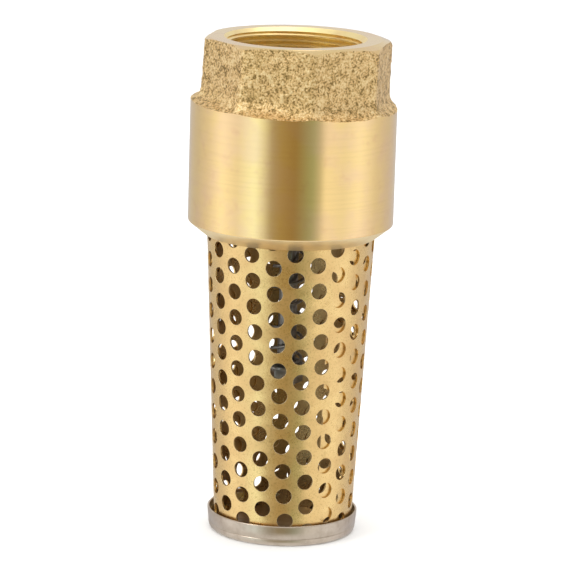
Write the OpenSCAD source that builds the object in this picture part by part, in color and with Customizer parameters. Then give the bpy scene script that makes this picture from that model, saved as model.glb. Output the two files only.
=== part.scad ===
// Foot valve for the bottom end of a pump's suction pipe, in millimetres.
// The origin is the centre of the cap's underside, and +Z points up, out of the pipe outlet.
// Water enters through the strainer, lifts the spring-loaded poppet off its seat and leaves at the top.

/* [Wrench end] */
// Distance across the flats of the eight-sided wrench end
octagon_af = 75.6; // [75:0.1:77]
// Height of the straight wrench sides
octagon_h = 22.9; // [21.5:0.1:28]
// Diameter of the faced top ring, inside its turned chamfer
face_d = 75; // [70:0.5:75]
// Diameter at the corners, where turning has rounded them
corner_d = 81.2; // [80:0.1:81.6]

/* [Outlet thread] */
// Diameter of the countersink at the mouth
mouth_d = 61.3; // [60:0.1:63]
// Diameter at the crests of the female pipe thread
thread_crest_d = 56.4; // [56:0.1:57]
// Distance between two thread turns, 11.5 to the inch
thread_pitch = 2.209; // [2.1:0.001:2.3]
// Width of the flat left on each thread crest
thread_crest_flat = 0.35; // [0.25:0.05:0.6]
// Depth of the threaded bore below the outlet face
thread_depth = 19.5; // [16:0.5:20]
// Diameter of the throat below the thread
throat_d = 52; // [48:1:54]

/* [Barrel] */
// Outside diameter of the turned barrel
barrel_d = 88.6; // [88.6:0.1:89.4]
// Height of the turned barrel, with its rolled-in rim
barrel_h = 56.9; // [54.5:0.1:62]
// Height of the cast shoulder between the barrel and the wrench sides
shoulder_h = 5.3; // [5:0.1:7]
// Diameter of the valve chamber
chamber_d = 78; // [77:0.5:78.5]
// Diameter of the pocket that takes the seat ring
pocket_d = 83; // [82:0.1:83.4]
// Thickness of the rolled-in rim that holds the strainer
rim_t = 2.5; // [2:0.1:3]
// Height of the rim's outside cone
rim_h = 5.5; // [5:0.1:6]
// Width of the rim's outside cone
rim_w = 7; // [6.9:0.05:7.05]

/* [Valve] */
// Diameter of the water passage through the seat
port_d = 48; // [44:0.5:49]
// Travel of the poppet from its seat to its stop
lift = 10; // [6:0.5:12]
// Diameter of the poppet's stem
stem_d = 8; // [7:0.5:8.5]
// Radial clearance between the stem and its bushes
running_gap = 0.05; // [0.02:0.01:0.1]
// Diameter of the poppet disc
disc_d = 60; // [58:0.5:62]
// Thickness of the rubber seal
seal_t = 3; // [2.5:0.1:3]

/* [Return spring] */
// Diameter of the spring's wire
wire_d = 1.4; // [0.8:0.1:1.6]
// Diameter of the coil, measured at the middle of the wire
coil_d = 13; // [12.6:0.1:13.2]
// Number of turns, with one closed turn at each end
coil_turns = 7.5; // [5:0.5:9]
// Length of the spring while the valve is shut
spring_h = 54.5; // [40:0.5:58]

/* [Strainer] */
// Length of the strainer and its cap below the body
strainer_h = 131.6; // [110:0.1:150]
// Diameter of the strainer where it comes out of the body
strainer_d = 73.2; // [72.6:0.1:73.2]
// Angle between the strainer's wall and its axis
strainer_taper = 2.74; // [2.4:0.01:2.8]
// Thickness of the perforated sheet
sheet_t = 0.9; // [0.7:0.1:1]
// Diameter of each hole
hole_d = 7; // [5:0.5:7.5]
// Distance from one hole to the next one down
hole_pitch = 11.25; // [10:0.05:12.7]
// Number of hole columns around the strainer
hole_columns = 22; // [16:2:22]

/* [Cap] */
// Height of the cap's upstanding wall
cap_h = 9.2; // [8:0.1:14]
// Thickness of the cap's sheet
cap_t = 1; // [0.8:0.1:1.2]
// Gap between the cap's lip and the strainer
cap_gap = 1.03; // [0.9:0.01:1.3]
// Outside radius of the cap's lower corner
cap_corner_r = 2.2; // [1.3:0.1:2.5]

/* [Hidden] */
$fn = 96;
round_fn = 180;

// What a boring tool runs past a face by
past = 1;
// Assembly clearance between pieces that sit in one another
slack = 0.1;
// Diagonal over leg of the 45 degree faces
diagonal = sqrt(2);

// Body, from the bottom up
rim_z = strainer_h;
barrel_top_z = rim_z + barrel_h;
octagon_z = barrel_top_z + shoulder_h;
top_z = octagon_z + octagon_h;
barrel_r = barrel_d / 2;
chamber_r = chamber_d / 2;
// Inner edge of the ledge above the upper guide
ledge_r = chamber_r - 3;
pocket_r = pocket_d / 2;
rim_tip_r = barrel_r - rim_w;
// How far the outline turns where the rim's cone meets the barrel
rim_turn = 90 - atan(rim_h / rim_w);
rim_tip_w = 0.5;
rim_bore_r = rim_tip_r - rim_tip_w;
barrel_edge_r = 1;
barrel_top_edge = 0.5;
// How far the eight-sided block reaches down into the barrel
block_root = 3;
pocket_z = rim_z + rim_t + pocket_r - rim_bore_r;

// Thread
crest_r = thread_crest_d / 2;
mouth_r = mouth_d / 2;
throat_r = throat_d / 2;
thread_top_z = top_z - (mouth_r - crest_r);
thread_end_z = top_z - thread_depth;
groove_w = thread_pitch - thread_crest_flat;
groove_depth = groove_w / 2 / tan(30);
thread_rings = floor((thread_top_z - thread_end_z - thread_crest_flat) / thread_pitch);

// Strainer wall: its radius at a height, outside and inside
wall_slope = tan(strainer_taper);
function wall_out(z) = strainer_d / 2 - wall_slope * (rim_z - z);
function wall_in(z) = wall_out(z) - sheet_t / cos(strainer_taper);
// Where the wall meets a 45 degree cone of radius z - offset
function wall_out_meets(offset) = (strainer_d / 2 - wall_slope * rim_z + offset) / (1 - wall_slope);
function wall_in_meets(offset) = wall_out_meets(offset - sheet_t / cos(strainer_taper));

// 45 degree cones of the clamped flare, each as z minus radius
rim_offset = rim_z + rim_t - rim_bore_r;
flare_low_offset = rim_offset + slack;
flare_top_offset = flare_low_offset + sheet_t * diagonal;
collar_offset = flare_top_offset + slack;
flare_gap = 0.3;
flare_r = pocket_r - flare_gap;

// Stack in the pocket, from the bottom up
stack_r = pocket_r - slack;
collar_edge_h = 1;
collar_top_z = stack_r + collar_offset + collar_edge_h;
collar_skirt_t = 0.8;
collar_bore_r = wall_in(rim_z) - collar_skirt_t;
guide_rim_t = 2.6;
seat_z = collar_top_z + guide_rim_t;
seat_h = 6;
seat_top_z = seat_z + seat_h;
bead_h = 1.5;
bead_w = 2.6;
port_r = port_d / 2;
o_ring_r = 1.2;
o_groove_z = seat_z + 1.6;
o_groove_w = 2.8;

// Poppet, from the bottom up
stem_r = stem_d / 2;
bush_t = 1.5;
bush_r = stem_r + bush_t;
hub_t = 2;
hub_r = bush_r + hub_t;
seal_z = seat_top_z + bead_h;
disc_z = seal_z + seal_t;
disc_t = 4;
disc_r = disc_d / 2;
// Width of the disc's lip around the seal
disc_lip = 1.5;
disc_hub_h = 2;
stop_z = disc_z + disc_t + disc_hub_h;
stop_h = 3.5;
disc_flat_r = 15;
washer_t = 1;
washer_edge = 2;
washer_r = coil_d / 2 + washer_edge;
retainer_t = 2.5;
lock_washer_t = 1.4;
nut_t = 6.5;
nut_af = 13;
nut_z = seal_z - retainer_t - lock_washer_t - nut_t;
bush_h = 10;
nut_clearance = 3;
lower_hub_top_z = nut_z - nut_clearance;
lower_hub_z = lower_hub_top_z - bush_h;
washer_z = lower_hub_z - spring_h - washer_t;
tail_nut_z = washer_z - nut_t;
stem_tail = 2.5;
stem_bottom_z = tail_nut_z - stem_tail;

// Upper guide, which the poppet's collar reaches at full lift
guide_hub_z = stop_z + stop_h + lift + slack;
guide_hub_drop = 6.4;
guide_arm_z = guide_hub_z + guide_hub_drop;
guide_arm_t = 4;
guide_top_z = guide_arm_z + guide_arm_t;
guide_hub_rise = 3.5;
guide_hub_top_z = guide_top_z + guide_hub_rise;
stem_top_drop = 1;
stem_top_z = guide_hub_top_z - stem_top_drop;
guide_r = chamber_r - slack;
arm_w = 5;
// Where the three arms and the three webs point, in degrees from +X
guide_turns = [90, 210, 330];
ring_t = 1.6;
ring_groove_depth = 1.5;
ring_groove_z = guide_arm_z - ring_t - slack;

// Spring, between the washer on the stem's tail and the lower guide's hub
spring_gap = 0.05;
spring_low_z = washer_z + washer_t + wire_d / 2 + spring_gap;
spring_high_z = lower_hub_z - wire_d / 2 - spring_gap;
// Closed turns lie almost on each other
closed_pitch = wire_d * 1.02;
spring_steps = 20;
spring_sides = 6;

// Cap
cap_lip_r = wall_out(cap_h) + cap_gap + cap_t;
// How far the cap's wall leans out from its corner to its lip
cap_lean = 0.6;
cap_side_r = cap_lip_r - cap_lean;
cap_base_r = cap_side_r - cap_corner_r;

// Colours
cast_brass = [0.79, 0.66, 0.42];
sheet_brass = [0.82, 0.69, 0.44];
bright_brass = [0.86, 0.74, 0.47];
steel = [0.66, 0.65, 0.63];
cap_steel = [0.67, 0.60, 0.54];
bronze = [0.66, 0.47, 0.28];
rubber = [0.10, 0.10, 0.11];
solder = [0.80, 0.76, 0.62];

// A point on a circle in the radius and height plane
function arc_point(centre, r, angle) = centre + r * [cos(angle), sin(angle)];

// The points of an arc from one angle to another
function arc(centre, r, from, to, steps) =
    [for (i = [0 : steps]) arc_point(centre, r, from + (to - from) * i / steps)];

// A solid ring turned from an outline of [radius, height] points
module turned(outline) {
    rotate_extrude($fn = round_fn) polygon(outline);
}

// A plain tube
module tube(z, h, r_out, r_in) {
    translate([0, 0, z]) difference() {
        cylinder(h = h, r = r_out);
        translate([0, 0, -past]) cylinder(h = h + 2 * past, r = r_in);
    }
}

// Barrel, rolled-in rim and cast shoulder, as one turned outline
function barrel_outline() = concat(
    [[0, rim_z], [rim_tip_r, rim_z]],
    arc([barrel_r - barrel_edge_r, rim_z + rim_h + barrel_edge_r * tan(rim_turn / 2)],
        barrel_edge_r, -rim_turn, 0, 5),
    [[barrel_r, barrel_top_z - barrel_top_edge], [barrel_r - barrel_top_edge, barrel_top_z]],
    arc([barrel_r - 0.8, octagon_z + 0.7], shoulder_h + 0.5, 270, 190, 6),
    [[0, octagon_z]]
);

// The turning limits of the eight-sided end
function octagon_limits() = [
    [0, barrel_top_z - block_root],
    [corner_d / 2, barrel_top_z - block_root],
    [corner_d / 2, top_z - (corner_d - face_d) / 2],
    [face_d / 2, top_z],
    [0, top_z]
];

// One thread groove, from its upper edge to its lower edge
function thread_groove(z) = [
    [crest_r, z + groove_w / 2],
    [crest_r + groove_depth, z],
    [crest_r, z - groove_w / 2]
];

// The waterway through the body, from the rim up to the outlet
function waterway() = concat(
    [[0, rim_z - past], [rim_bore_r, rim_z - past], [rim_bore_r, rim_z + rim_t]],
    [[pocket_r, pocket_z], [pocket_r, seat_top_z], [chamber_r, seat_top_z]],
    [[chamber_r, ring_groove_z], [chamber_r + ring_groove_depth, ring_groove_z]],
    [[chamber_r + ring_groove_depth, guide_arm_z], [chamber_r, guide_arm_z]],
    [[chamber_r, guide_top_z], [ledge_r, guide_top_z]],
    [[throat_r, guide_top_z + ledge_r - throat_r], [throat_r, thread_end_z], [crest_r, thread_end_z]],
    [for (i = [thread_rings - 1 : -1 : 0])
        each [for (p = [2 : -1 : 0]) thread_groove(thread_top_z - groove_w / 2 - i * thread_pitch)[p]]],
    [[mouth_r, top_z], [mouth_r + past, top_z + past], [0, top_z + past]]
);

// Cast body: eight-sided pipe end, barrel and rolled-in rim. The thread is cut as parallel rings.
module body() {
    color(cast_brass) difference() {
        union() {
            turned(barrel_outline());
            intersection() {
                translate([0, 0, barrel_top_z - block_root]) rotate(22.5)
                    cylinder(h = top_z - barrel_top_z + block_root, r = octagon_af / 2 / cos(22.5), $fn = 8);
                turned(octagon_limits());
            }
        }
        turned(waterway());
    }
}

// Internal snap ring under the upper guide, open at one side with an eye at each end
module guide_retaining_ring() {
    z = ring_groove_z + slack / 2;
    eye_r = 2.3;
    eye_hole_r = 0.9;
    eye_ring_r = chamber_r - 2.8;
    inner_r = chamber_r - 2.2;
    half_gap = 7;
    eye_turn = half_gap + 3.6;
    color(steel) difference() {
        union() {
            tube(z, ring_t, chamber_r + ring_groove_depth - slack, inner_r);
            for (side = [-1, 1])
                rotate(side * eye_turn) translate([eye_ring_r, 0, z]) cylinder(h = ring_t, r = eye_r);
        }
        for (side = [-1, 1])
            rotate(side * eye_turn) translate([eye_ring_r, 0, z - past])
                cylinder(h = ring_t + 2 * past, r = eye_hole_r);
        translate([0, 0, z - past]) linear_extrude(ring_t + 2 * past)
            polygon([[0, 0], for (side = [-1, 1]) barrel_r * [cos(half_gap), side * sin(half_gap)]]);
    }
}

// Three-armed guide that steers the top of the stem and stops the poppet
module upper_guide() {
    rim_in = chamber_r - 4.5;
    arm_start = bush_r + 0.8;
    color(bright_brass) difference() {
        union() {
            tube(guide_arm_z, guide_arm_t, guide_r, rim_in);
            tube(guide_hub_z, guide_hub_top_z - guide_hub_z, hub_r, bush_r);
            for (turn = guide_turns)
                rotate(turn) translate([arm_start, -arm_w / 2, guide_arm_z])
                    cube([ledge_r - arm_start, arm_w, guide_arm_t]);
        }
        translate([0, 0, guide_hub_z - past])
            cylinder(h = guide_hub_top_z - guide_hub_z + 2 * past, r = bush_r);
    }
}

module upper_bush() {
    color(bronze) tube(guide_hub_z, guide_hub_top_z - guide_hub_z, bush_r, stem_r + running_gap);
}

// Height of the wire's middle after a number of turns: closed end turns, open turns between
function wire_z(turn) =
    let (open = (spring_high_z - spring_low_z - 2 * closed_pitch) / (coil_turns - 2))
    turn < 1 ? spring_low_z + closed_pitch * turn :
    turn > coil_turns - 1 ? spring_high_z - closed_pitch * (coil_turns - turn) :
    spring_low_z + closed_pitch + open * (turn - 1);

// A ring of points around the wire
function wire_ring(turn) = [
    for (side = [0 : spring_sides - 1])
        let (around = side * 360 / spring_sides, r = coil_d / 2 + wire_d / 2 * cos(around))
        [r * cos(turn * 360), r * sin(turn * 360), wire_z(turn) + wire_d / 2 * sin(around)]
];

module return_spring() {
    rings = coil_turns * spring_steps;
    n = spring_sides;
    points = [for (i = [0 : rings]) each wire_ring(i / spring_steps)];
    sides = [for (i = [0 : rings - 1]) for (j = [0 : n - 1])
        [i * n + j, i * n + (j + 1) % n, (i + 1) * n + (j + 1) % n, (i + 1) * n + j]];
    ends = [[for (j = [n - 1 : -1 : 0]) j], [for (j = [0 : n - 1]) rings * n + j]];
    color(steel) polyhedron(points = points, faces = concat(sides, ends), convexity = 10);
}

// Washer between the spring and the tail nut
module spring_washer() {
    color(steel) tube(washer_z, washer_t, washer_r, stem_r + slack);
}

// Stem with the collar that stops the poppet against the upper guide
module poppet_stem() {
    end_edge = 0.8;
    collar_edge = 0.5;
    color(steel) turned([
        [0, stem_bottom_z], [stem_r - end_edge, stem_bottom_z], [stem_r, stem_bottom_z + end_edge],
        [stem_r, stop_z], [hub_r, stop_z], [hub_r, stop_z + stop_h - collar_edge],
        [hub_r - collar_edge, stop_z + stop_h], [stem_r, stop_z + stop_h],
        [stem_r, stem_top_z - end_edge], [stem_r - end_edge, stem_top_z], [0, stem_top_z]
    ]);
}

// Disc with a hub above and a shallow recess for the seal below
module poppet_disc() {
    recess = 1;
    recess_r = disc_r - disc_lip + slack;
    color(bright_brass) turned([
        [stem_r + slack, disc_z], [recess_r, disc_z], [recess_r, disc_z - recess],
        [disc_r, disc_z - recess], [disc_r, disc_z + disc_t - 2], [disc_r - 1, disc_z + disc_t - 1],
        [disc_flat_r, disc_z + disc_t], [hub_r, disc_z + disc_t], [hub_r, stop_z], [stem_r + slack, stop_z]
    ]);
}

module poppet_seal() {
    color(rubber) tube(seal_z, seal_t, disc_r - disc_lip, stem_r + slack);
}

// Plate that holds the seal up against the disc and hangs in the port
module seal_retainer() {
    edge = 1;
    r = port_r - 2.5;
    color(bright_brass) turned([
        [stem_r + slack, seal_z - retainer_t], [r - edge, seal_z - retainer_t],
        [r, seal_z - retainer_t + edge], [r, seal_z], [stem_r + slack, seal_z]
    ]);
}

// Split lock washer
module lock_washer() {
    z = seal_z - retainer_t - lock_washer_t;
    r = stem_r + 3.2;
    split_w = 1.2;
    color(steel) difference() {
        tube(z, lock_washer_t, r, stem_r + slack);
        translate([0, -split_w / 2, z - past]) cube([r + past, split_w, lock_washer_t + 2 * past]);
    }
}

// Hexagon nut on the stem, with its corners turned off at both ends
module hexagon_nut(z) {
    corner_r = nut_af / 2 / cos(30);
    clear_r = corner_r + 0.01;
    chamfer = 0.6;
    color(steel) difference() {
        intersection() {
            translate([0, 0, z]) cylinder(h = nut_t, r = corner_r, $fn = 6);
            turned([
                [0, z], [nut_af / 2, z], [clear_r, z + chamfer],
                [clear_r, z + nut_t - chamfer], [nut_af / 2, z + nut_t], [0, z + nut_t]
            ]);
        }
        translate([0, 0, z - past]) cylinder(h = nut_t + 2 * past, r = stem_r);
    }
}

module stem_nut() {
    hexagon_nut(nut_z);
}

module tail_nut() {
    hexagon_nut(tail_nut_z);
}

// Seat ring: bell-mouthed port, raised bead for the seal, groove for the O-ring
module seat_ring() {
    groove_r = stack_r - 2 * o_ring_r;
    bead_edge = 0.6;
    bell_r = 3.5;
    color(bright_brass) turned(concat(
        [[port_r + 6, seat_z], [stack_r, seat_z], [stack_r, o_groove_z], [groove_r, o_groove_z]],
        [[groove_r, o_groove_z + o_groove_w], [stack_r, o_groove_z + o_groove_w], [stack_r, seat_top_z]],
        [[port_r + bead_w + 0.5, seat_top_z], [port_r + bead_w, seal_z], [port_r + bead_edge, seal_z]],
        [[port_r, seal_z - bead_edge]],
        arc([port_r + bell_r, seat_z + bell_r], bell_r, 180, 225, 4)
    ));
}

module seat_o_ring() {
    color(rubber) translate([0, 0, o_groove_z + o_groove_w / 2]) rotate_extrude($fn = round_fn)
        translate([stack_r + slack / 2 - o_ring_r, 0]) circle(r = o_ring_r);
}

// Lower guide: a rim clamped under the seat ring, three webs and a hub that the spring pushes against
module lower_guide() {
    web_t = 3.5;
    web_edge = 0.5;
    rim_in = collar_bore_r + 0.4;
    web = [
        [bush_r + 0.8, lower_hub_z + web_edge], [hub_r + 3, lower_hub_z + web_edge],
        [rim_in - 1, collar_top_z], [rim_in + 1, collar_top_z], [rim_in + 1, seat_z], [rim_in - 6, seat_z],
        [hub_r + 4, lower_hub_top_z - web_edge], [bush_r + 0.8, lower_hub_top_z - web_edge]
    ];
    color(bright_brass) difference() {
        union() {
            tube(collar_top_z, guide_rim_t, stack_r, rim_in);
            tube(lower_hub_z, bush_h, hub_r, bush_r);
            for (turn = guide_turns)
                rotate(turn) rotate([90, 0, 0]) translate([0, 0, -web_t / 2])
                    linear_extrude(web_t) polygon(web);
        }
        translate([0, 0, lower_hub_z - past]) cylinder(h = bush_h + 2 * past, r = bush_r);
    }
}

module lower_bush() {
    color(bronze) tube(lower_hub_z, bush_h, bush_r, stem_r + running_gap);
}

// Collar that clamps the strainer's flare and lines its top edge
module strainer_collar() {
    skirt_z = rim_z + 1;
    meet_z = wall_out_meets(collar_offset - sheet_t / cos(strainer_taper) - slack);
    color(bright_brass) turned([
        [collar_bore_r, skirt_z], [wall_in(skirt_z) - slack, skirt_z], [meet_z - collar_offset, meet_z],
        [stack_r, stack_r + collar_offset], [stack_r, collar_top_z], [collar_bore_r, collar_top_z]
    ]);
}

// Outline of the strainer's sheet: a tapered wall with its top edge flared into the rim
function sheet_outline() =
    let (low_z = wall_out_meets(flare_low_offset), high_z = wall_in_meets(flare_top_offset))
    [
        [wall_in(cap_t), cap_t], [wall_out(cap_t), cap_t],
        [low_z - flare_low_offset, low_z], [flare_r, flare_r + flare_low_offset],
        [flare_r - sheet_t / diagonal, flare_r - sheet_t / diagonal + flare_top_offset],
        [high_z - flare_top_offset, high_z]
    ];

// Perforated strainer: staggered columns of round holes, square to the sheet
module strainer_screen() {
    first_hole_z = cap_t + hole_d / 2 + 3;
    last_hole_z = rim_z - 1;
    color(sheet_brass) difference() {
        turned(sheet_outline());
        for (column = [0 : hole_columns - 1])
            for (z = [first_hole_z + (column % 2) * hole_pitch / 2 : hole_pitch : last_hole_z])
                rotate(column * 360 / hole_columns) translate([wall_out(z) - 3, 0, z])
                    rotate([0, 90 + strainer_taper, 0]) cylinder(h = 6, r = hole_d / 2);
    }
}

// Drawn cap with a rounded lower corner and an upstanding lip
module strainer_cap() {
    corner_in_r = cap_corner_r - cap_t;
    color(cap_steel) turned(concat(
        [[0, 0]],
        arc([cap_base_r, cap_corner_r], cap_corner_r, 270, 360, 6),
        arc([cap_lip_r - cap_t / 2, cap_h - cap_t / 2], cap_t / 2, 0, 180, 6),
        arc([cap_base_r, cap_corner_r], corner_in_r, 360, 270, 3),
        [[0, cap_t]]
    ));
}

// Ring of solder between the strainer's foot and the cap
module cap_solder() {
    low_z = cap_corner_r + 0.2;
    high_z = cap_h - 2.2;
    function cap_in(z) = cap_side_r - cap_t + 0.6 * (z - cap_corner_r) / (cap_h - cap_t / 2 - cap_corner_r);
    color(solder) turned([
        [wall_out(low_z) + 0.05, low_z], [cap_in(low_z) - 0.05, low_z],
        [cap_in(high_z) - 0.05, high_z], [wall_out(high_z) + 0.05, high_z - 0.4]
    ]);
}

body();
guide_retaining_ring();
upper_guide();
upper_bush();
return_spring();
spring_washer();
poppet_stem();
poppet_disc();
poppet_seal();
seal_retainer();
lock_washer();
stem_nut();
tail_nut();
seat_ring();
seat_o_ring();
lower_guide();
lower_bush();
strainer_collar();
strainer_screen();
strainer_cap();
cap_solder();
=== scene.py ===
# %% [markdown]
# # A brass foot valve
# A foot valve hangs at the bottom end of a pump's suction pipe. Water comes in through the
# perforated strainer, lifts a spring-loaded poppet off its seat and leaves through the threaded
# end on top. The CAD frame holds the sizes and the motion. This lesson gives each piece the
# surface of the real one.

# %% Load the frame
import math

import bmesh
import bpy
from mathutils import Matrix, Vector


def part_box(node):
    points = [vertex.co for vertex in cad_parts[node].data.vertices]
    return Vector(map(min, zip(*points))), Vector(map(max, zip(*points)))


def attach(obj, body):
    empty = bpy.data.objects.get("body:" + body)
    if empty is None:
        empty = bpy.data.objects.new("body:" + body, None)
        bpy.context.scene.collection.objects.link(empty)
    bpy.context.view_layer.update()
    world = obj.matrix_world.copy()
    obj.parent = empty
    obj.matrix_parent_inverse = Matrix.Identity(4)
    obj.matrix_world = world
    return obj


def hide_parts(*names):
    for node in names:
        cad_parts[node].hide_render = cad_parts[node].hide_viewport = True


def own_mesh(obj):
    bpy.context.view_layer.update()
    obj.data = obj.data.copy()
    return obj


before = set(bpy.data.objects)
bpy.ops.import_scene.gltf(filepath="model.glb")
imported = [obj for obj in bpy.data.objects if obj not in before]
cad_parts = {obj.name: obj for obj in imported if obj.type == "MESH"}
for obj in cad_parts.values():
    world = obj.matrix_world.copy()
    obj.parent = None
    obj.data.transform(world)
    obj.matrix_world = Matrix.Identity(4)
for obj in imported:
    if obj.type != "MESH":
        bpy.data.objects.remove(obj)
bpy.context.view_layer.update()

MM = 0.001

# %% [markdown]
# ## The sizes that drive everything
# Lengths are written in millimetres, as on a drawing, and become metres in the helpers. The
# heights come from the frame, so a piece always meets the CAD pieces around it.

# %% Heights and radii
def low(node):
    """Height of a CAD piece's underside, in millimetres."""
    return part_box(node)[0].z / MM


def high(node):
    """Height of a CAD piece's top, in millimetres."""
    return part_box(node)[1].z / MM


def reach(node):
    """Largest radius of a round CAD piece, in millimetres."""
    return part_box(node)[1].x / MM


TOP = high("body")
RIM = low("body")
GUIDE_ARM_Z = high("guide_retaining_ring") + 0.05
GUIDE_ARM_TOP = GUIDE_ARM_Z + 4
SEAT_SHOULDER = high("seat_ring") - 1.5
BARREL_R = 44.3
OCTAGON_FLAT = 37.8
CREST_R = 28.2
THREAD_PITCH = 2.209
print("valve is", round(TOP, 1), "mm tall, rim at", round(RIM, 1))

# %% [markdown]
# ## Camera
# A long lens from a metre and a half away keeps the sides nearly parallel. The camera looks down
# a little, so the threaded mouth shows, and it is rolled by a little under two degrees, so the
# valve leans.

# %% Camera
VIEW_TURN = math.radians(12.1)
CAMERA_AWAY = 1420 * MM
CAMERA_UP = 425 * MM
CAMERA_PITCH = math.radians(12.617)
CAMERA_YAW = math.radians(0.008)
CAMERA_ROLL = math.radians(1.7)

lens = bpy.data.cameras.new("camera")
lens.sensor_width = 36
lens.lens = 210
camera = bpy.data.objects.new("camera", lens)
camera.location = (CAMERA_AWAY * math.sin(VIEW_TURN), -CAMERA_AWAY * math.cos(VIEW_TURN), CAMERA_UP)
pan = Matrix.Rotation(VIEW_TURN + CAMERA_YAW, 4, "Z")
tilt = Matrix.Rotation(math.pi / 2 - CAMERA_PITCH, 4, "X")
lean = Matrix.Rotation(CAMERA_ROLL, 4, "Z")
camera.rotation_euler = (pan @ tilt @ lean).to_euler()
bpy.context.scene.collection.objects.link(camera)
bpy.context.scene.camera = camera
print("camera at", [round(x, 3) for x in camera.location])

# %% [markdown]
# ## Studio
# Polished brass has hardly any colour of its own: it shows the room. A photographer sets such a
# piece between white walls, and the dark gap where the camera looks in becomes the dark band down
# the barrel. Here the room is the world's light, drawn as stops around the compass: brighter
# strips are panels, darker ones are gaps.

# %% Room light
# Each stop: part of a full turn from behind, through the left side, the camera and the right
# side, and the light that comes from there
ROOM = [
    (0.00, (0.60, 0.60, 0.62)), (0.14, (0.68, 0.67, 0.68)), (0.20, (0.86, 0.84, 0.84)),
    (0.265, (1.24, 1.26, 1.28)), (0.325, (0.98, 0.98, 0.98)), (0.385, (1.22, 1.42, 1.44)),
    (0.412, (0.90, 0.96, 0.92)), (0.438, (0.46, 0.42, 0.32)), (0.465, (0.43, 0.35, 0.18)),
    (0.51, (0.34, 0.25, 0.11)), (0.565, (0.40, 0.48, 0.34)), (0.588, (0.66, 0.66, 0.58)),
    (0.605, (1.12, 1.10, 1.04)), (0.666, (1.00, 1.00, 0.98)), (0.725, (1.20, 1.22, 1.24)),
    (0.80, (0.84, 0.82, 0.82)), (0.86, (0.72, 0.70, 0.72)), (1.00, (0.60, 0.60, 0.62)),
]
# Heights on a sphere of radius 1 between which the walls turn into the ceiling and the table
CEILING, CEILING_FROM, CEILING_FULL = (0.78, 0.78, 0.77), -0.06, 0.14
TABLE, TABLE_FROM, TABLE_FULL = (0.95, 0.95, 0.93), -0.42, -0.75


def room_light(turn):
    """World light of a white room, with its dark gap turned to where the camera stands."""
    world = bpy.data.worlds.new("white_room")
    world.use_nodes = True
    nodes, link = world.node_tree.nodes, world.node_tree.links.new
    nodes.clear()

    def add(kind, **settings):
        node = nodes.new(kind)
        for key, value in settings.items():
            setattr(node, key, value)
        return node

    place = add("ShaderNodeTexCoord")
    spun = add("ShaderNodeVectorRotate", rotation_type="Z_AXIS")
    spun.inputs["Angle"].default_value = -turn
    link(place.outputs["Generated"], spun.inputs["Vector"])
    split = add("ShaderNodeSeparateXYZ")
    link(spun.outputs[0], split.inputs[0])
    toward = add("ShaderNodeMath", operation="MULTIPLY")
    toward.inputs[1].default_value = -1
    link(split.outputs["Y"], toward.inputs[0])
    compass = add("ShaderNodeMath", operation="ARCTAN2")
    link(split.outputs["X"], compass.inputs[0])
    link(toward.outputs[0], compass.inputs[1])
    part = add("ShaderNodeMath", operation="MULTIPLY_ADD")
    part.inputs[1].default_value = 1 / math.tau
    part.inputs[2].default_value = 0.5
    link(compass.outputs[0], part.inputs[0])
    around = add("ShaderNodeValToRGB")
    while len(around.color_ramp.elements) < len(ROOM):
        around.color_ramp.elements.new(0.5)
    for element, (at, colour) in zip(around.color_ramp.elements, ROOM):
        element.position = at
        element.color = (*colour, 1)
    link(part.outputs[0], around.inputs[0])
    height = add("ShaderNodeMapRange", interpolation_type="SMOOTHSTEP")
    height.inputs["From Min"].default_value = CEILING_FROM
    height.inputs["From Max"].default_value = CEILING_FULL
    link(split.outputs["Z"], height.inputs["Value"])
    walls_and_ceiling = add("ShaderNodeMix", data_type="RGBA")
    link(height.outputs[0], walls_and_ceiling.inputs["Factor"])
    link(around.outputs[0], walls_and_ceiling.inputs[6])
    walls_and_ceiling.inputs[7].default_value = (*CEILING, 1)
    depth = add("ShaderNodeMapRange", interpolation_type="SMOOTHSTEP")
    depth.inputs["From Min"].default_value = TABLE_FROM
    depth.inputs["From Max"].default_value = TABLE_FULL
    link(split.outputs["Z"], depth.inputs["Value"])
    whole_room = add("ShaderNodeMix", data_type="RGBA")
    link(depth.outputs[0], whole_room.inputs["Factor"])
    link(walls_and_ceiling.outputs[2], whole_room.inputs[6])
    whole_room.inputs[7].default_value = (*TABLE, 1)
    lit = add("ShaderNodeBackground")
    link(whole_room.outputs[2], lit.inputs["Color"])
    seen = add("ShaderNodeBackground")
    seen.inputs["Color"].default_value = (1, 1, 1, 1)
    ray = add("ShaderNodeLightPath")
    choose = add("ShaderNodeMixShader")
    link(ray.outputs["Is Camera Ray"], choose.inputs[0])
    link(lit.outputs[0], choose.inputs[1])
    link(seen.outputs[0], choose.inputs[2])
    out = add("ShaderNodeOutputWorld")
    link(choose.outputs[0], out.inputs["Surface"])
    return world


bpy.context.scene.world = room_light(VIEW_TURN)
bpy.context.scene.view_settings.view_transform = "Standard"
print("room light has", len(ROOM), "stops")

# %% Soft boxes and floor
VALVE_MIDDLE = Vector((0, 0, 0.11))


def soft_box(name, power, size, place):
    """A square area light that looks at the valve."""
    light = bpy.data.lights.new(name, "AREA")
    light.energy = power
    light.size = size
    holder = bpy.data.objects.new(name, light)
    holder.location = place
    holder.rotation_euler = (VALVE_MIDDLE - Vector(place)).to_track_quat("-Z", "Y").to_euler()
    bpy.context.scene.collection.objects.link(holder)
    return holder


soft_box("key_light", 4.5, 0.5, (-0.75, -0.75, 0.95))
soft_box("top_light", 3, 0.7, (0.1, 0.2, 1.2))


def paper_light():
    """A wide light that brass doesn't mirror: the floor gets white, the dark bands stay."""
    wide = soft_box("paper_light", 60, 3, (0, 0, 3))
    wide.visible_glossy = False


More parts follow.
